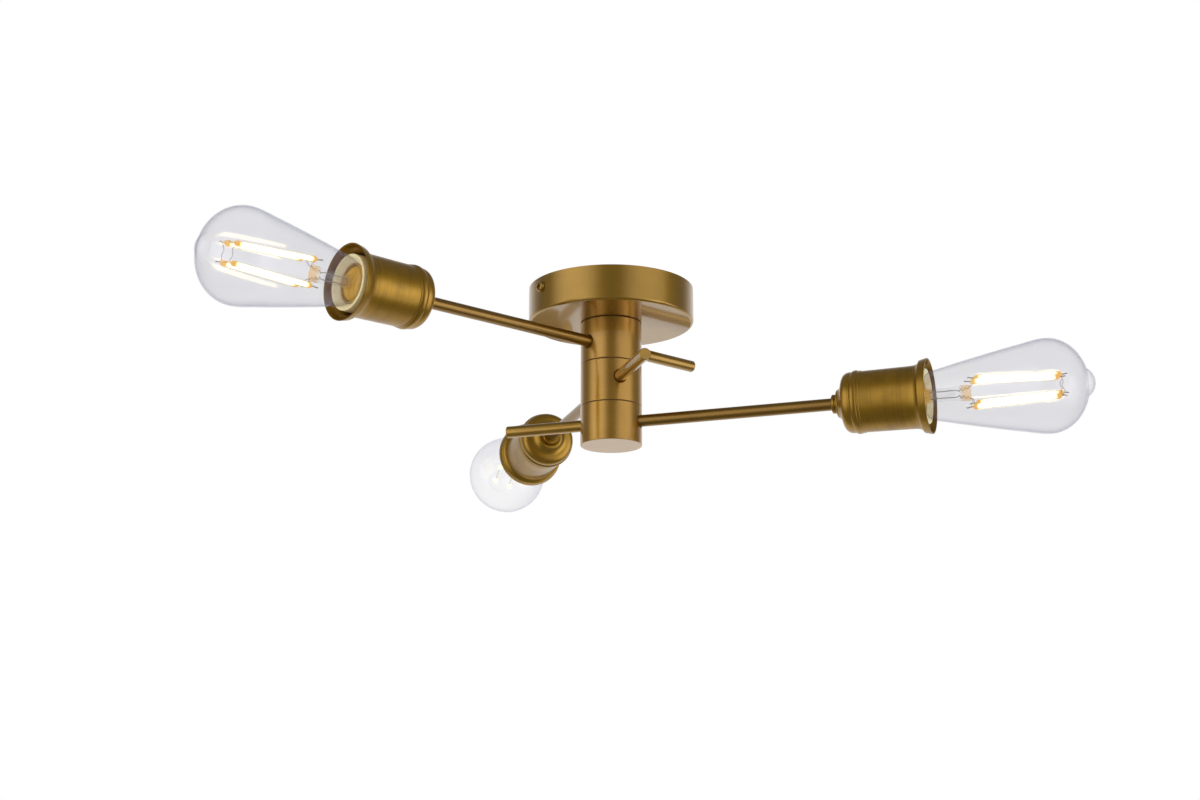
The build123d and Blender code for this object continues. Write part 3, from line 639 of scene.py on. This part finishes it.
def make_turned_cap(name):
    """Back of the cup: a short neck, a bowl that turns over a round shoulder, a bead and a fine ring."""
    low = node_reach(name, "cup_cap")[0]
    shape = bmesh.new()
    curve = smooth_line([(x, r, 0) for x, r in CAP_NECK[1:] + CAP_BOWL + CAP_BEAD + CAP_RING], 4)
    outside = [CAP_NECK[0]] + [(point.x, point.y) for point in curve]
    hole = CAP_NECK[0][1]
    inside = []
    for i, (x, r) in enumerate(outside):
        before, after = Vector(outside[max(i - 1, 0)]), Vector(outside[min(i + 1, len(outside) - 1)])
        along = (after - before).normalized()
        inside.append((x + along.y * CAP_SHEET, max(r - along.x * CAP_SHEET, hole)))
    inside[-1] = (outside[-1][0], outside[-1][1] - CAP_SHEET)
    add_skin(shape, lathe_rings(outside + inside[::-1], CAP_SIDES), loop=True)
    make_piece(f"{name}_turned_cap", shape, turned_brass[name], arm_matrix(name, low), f"{name}_arm",
               "satin_brass", f"{name}_cup_cap")


# Screw shells: outer and inner radius of the thread, and the sheet
THREAD_SIDES = 96
THREAD_ROWS = 72
BASE_THREAD = (13.0 * MM, 12.25 * MM)
BASE_SHEET = 0.35 * MM
BASE_TOE = ((0.0, 10.45), (0.5, 11.4), (1.1, 12.05))
SOCKET_THREAD = (13.42 * MM, 13.1 * MM)
SOCKET_SHEET = 0.3 * MM
TONGUE = (0.4 * MM, SOCKET_THREAD[1] - 0.5 * MM, 4.0 * MM)


def thread_ring(station, radius_at):
    """Ring of points at a station, with a radius for each angle."""
    angles = [360 * k / THREAD_SIDES for k in range(THREAD_SIDES)]
    return [round_point(station, radius_at(angle), angle) for angle in angles]


def offset_rings(rings, distance):
    """The same rings, moved away from the arm's axis."""
    return [[point + Vector((0, point.y, point.z)).normalized() * distance for point in ring]
            for ring in rings]


def thread_radius(station, angle, thread, start, end):
    """Radius of a rounded screw thread that fades out at both ends."""
    wave = 0.5 + 0.5 * math.cos(2 * math.pi * (station / THREAD_PITCH - angle / 360))
    fade = min(1, max(0, station - start) / THREAD_PITCH, max(0, end - station) / THREAD_PITCH)
    outer, inner = thread
    return inner + (outer - inner) * (wave ** 0.8 * fade)


def make_threaded_base(name):
    """Screw base of the bulb, one thin shell with its rolled thread."""
    low, high = node_reach(name, "bulb_base")
    length = high - low
    start, end = 3.5 * MM, length - 5.5 * MM
    skin = lathe_rings(BASE_TOE, THREAD_SIDES)
    for row in range(THREAD_ROWS + 1):
        station = 1.5 * MM + (length - 1.5 * MM) * row / THREAD_ROWS
        least = BASE_THREAD[0] if station > length - 3.5 * MM else 0.0
        skin.append(thread_ring(station, lambda angle: max(
            thread_radius(station, angle, BASE_THREAD, start, end), least)))
    shape = bmesh.new()
    add_skin(shape, skin + offset_rings(skin, -BASE_SHEET)[::-1], loop=True)
    make_piece(f"{name}_threaded_base", shape, base_metal, arm_matrix(name, low), f"{name}_bulb",
               "base_metal", f"{name}_bulb_base")


def make_threaded_socket(name):
    """Screw shell of the lampholder with its rolled thread, and the tongue on its floor."""
    low, high = node_reach(name, "screw_shell")
    length = high - low
    start, end = 2.0 * MM, length - 2.0 * MM
    inside = []
    for row in range(THREAD_ROWS + 1):
        station = length * row / THREAD_ROWS
        inside.append(thread_ring(station, lambda angle: thread_radius(
            station, angle, SOCKET_THREAD, start, end)))
    shape = bmesh.new()
    add_skin(shape, inside + offset_rings(inside, SOCKET_SHEET)[::-1], loop=True)
    tongue = bmesh.ops.create_cube(shape, size=1.0)["verts"]
    bmesh.ops.scale(shape, vec=TONGUE, verts=tongue)
    bmesh.ops.translate(shape, vec=(TONGUE[0] / 2, -0.5 * MM - TONGUE[1] / 2, 0), verts=tongue)
    make_piece(f"{name}_threaded_socket", shape, socket_brass, arm_matrix(name, low), f"{name}_arm",
               "socket_brass", f"{name}_screw_shell")


for name in ARMS:
    base_rim = node_reach(name, "bulb_base")[1]
    inside_bulb = arm_matrix(name, base_rim, BULB_TURNS[name])
    make_filaments(name, inside_bulb, back_filament if name == "middle" else filament)
    make_filament_wires(name, inside_bulb)
    make_glass_stem(name, inside_bulb)
    make_bulb_glass(name, inside_bulb, lit_back_glass if name == "middle" else glass)
    make_threaded_base(name)
    make_threaded_socket(name)
    make_turned_cap(name)
    make_brushed_shell(name)


# Studio: white surround with three soft lamps in it, and a floor far below

def make_world():
    """White to the camera; to the object, soft lamps over an even surround."""
    world = bpy.data.worlds.new("studio")
    bpy.context.scene.world = world
    world.use_nodes = True
    graph = Graph(world.node_tree)
    path = graph.add("ShaderNodeLightPath")
    ray = graph.add("ShaderNodeTexCoord").outputs["Generated"]
    facing = graph.dot(ray, direction(CAMERA_AZIMUTH) + Vector((0, 0, MIRROR_TILT)))
    mirrored = graph.remap(facing, *MIRROR_BAND, MIRROR_BACK, MIRROR_FRONT, smooth=True)
    glossy = path.outputs["Is Glossy Ray"]
    level = graph.math("ADD", graph.math("MULTIPLY", glossy, mirrored),
                       graph.math("MULTIPLY", graph.math("SUBTRACT", 1.0, glossy), AMBIENT))
    front = graph.dot(ray, direction(CAMERA_AZIMUTH, FRONT_SHADE_RAISE))
    edge, core = (math.cos(math.radians(angle)) for angle in FRONT_SHADE_EDGES)
    shade = graph.remap(front, edge, core, 1.0, 1.0 - FRONT_SHADE, smooth=True)
    for turn, rise, strength, edges in zip(SOFTBOX_TURNS, SOFTBOX_RAISES, SOFTBOX_LEVELS, SOFTBOX_EDGES):
        edge, core = (math.cos(math.radians(angle)) for angle in edges)
        lobe = graph.dot(ray, direction(CAMERA_AZIMUTH + turn, rise))
        light = graph.remap(lobe, edge, core, 0.0, strength, smooth=True)
        level = graph.math("ADD", level, graph.math("MULTIPLY", light, shade))
    seen = graph.math("MAXIMUM", path.outputs["Is Camera Ray"], path.outputs["Is Transmission Ray"])
    mixed = graph.add("ShaderNodeMix", {0: seen, 2: level, 3: 1.0}, data_type="FLOAT").outputs[0]
    background = graph.add("ShaderNodeBackground", {"Color": (1, 1, 1, 1), "Strength": mixed})
    graph.add("ShaderNodeOutputWorld", {"Surface": background.outputs[0]})


def make_floor():
    mesh = bpy.data.meshes.new("floor")
    shape = bmesh.new()
    bmesh.ops.create_circle(shape, cap_ends=True, radius=FLOOR_RADIUS, segments=96)
    shape.to_mesh(mesh)
    shape.free()
    floor = bpy.data.objects.new("floor", mesh)
    floor.location.z = FLOOR_LEVEL
    floor.visible_glossy = False
    bpy.context.scene.collection.objects.link(floor)
    material, graph = new_material("floor")
    radius = graph.vector("LENGTH", {0: graph.object_point()}, "Value")
    fade = graph.remap(radius, FLOOR_FADE_START, FLOOR_FADE_END, smooth=True)
    paint = graph.add("ShaderNodeBsdfDiffuse", {"Color": (0.93, 0.93, 0.93, 1)}).outputs[0]
    white = graph.add("ShaderNodeEmission", {"Color": (1, 1, 1, 1), "Strength": 1.0}).outputs[0]
    finish_material(graph, graph.add("ShaderNodeMixShader", {0: fade, 1: paint, 2: white}).outputs[0])
    mesh.materials.append(material)


def make_camera():
    data = bpy.data.cameras.new("camera")
    data.sensor_width = SENSOR
    data.lens = LENS
    data.clip_start = 0.01
    camera = bpy.data.objects.new("camera", data)
    camera.location = direction(CAMERA_AZIMUTH) * CAMERA_DISTANCE + Vector((0, 0, CAMERA_HEIGHT))
    view = direction(VIEW_AZIMUTH, VIEW_PITCH)
    camera.rotation_euler = view.to_track_quat("-Z", "Y").to_euler()
    bpy.context.scene.collection.objects.link(camera)
    bpy.context.scene.camera = camera


make_world()
make_floor()
make_camera()
bpy.context.scene.view_settings.view_transform = "Standard"
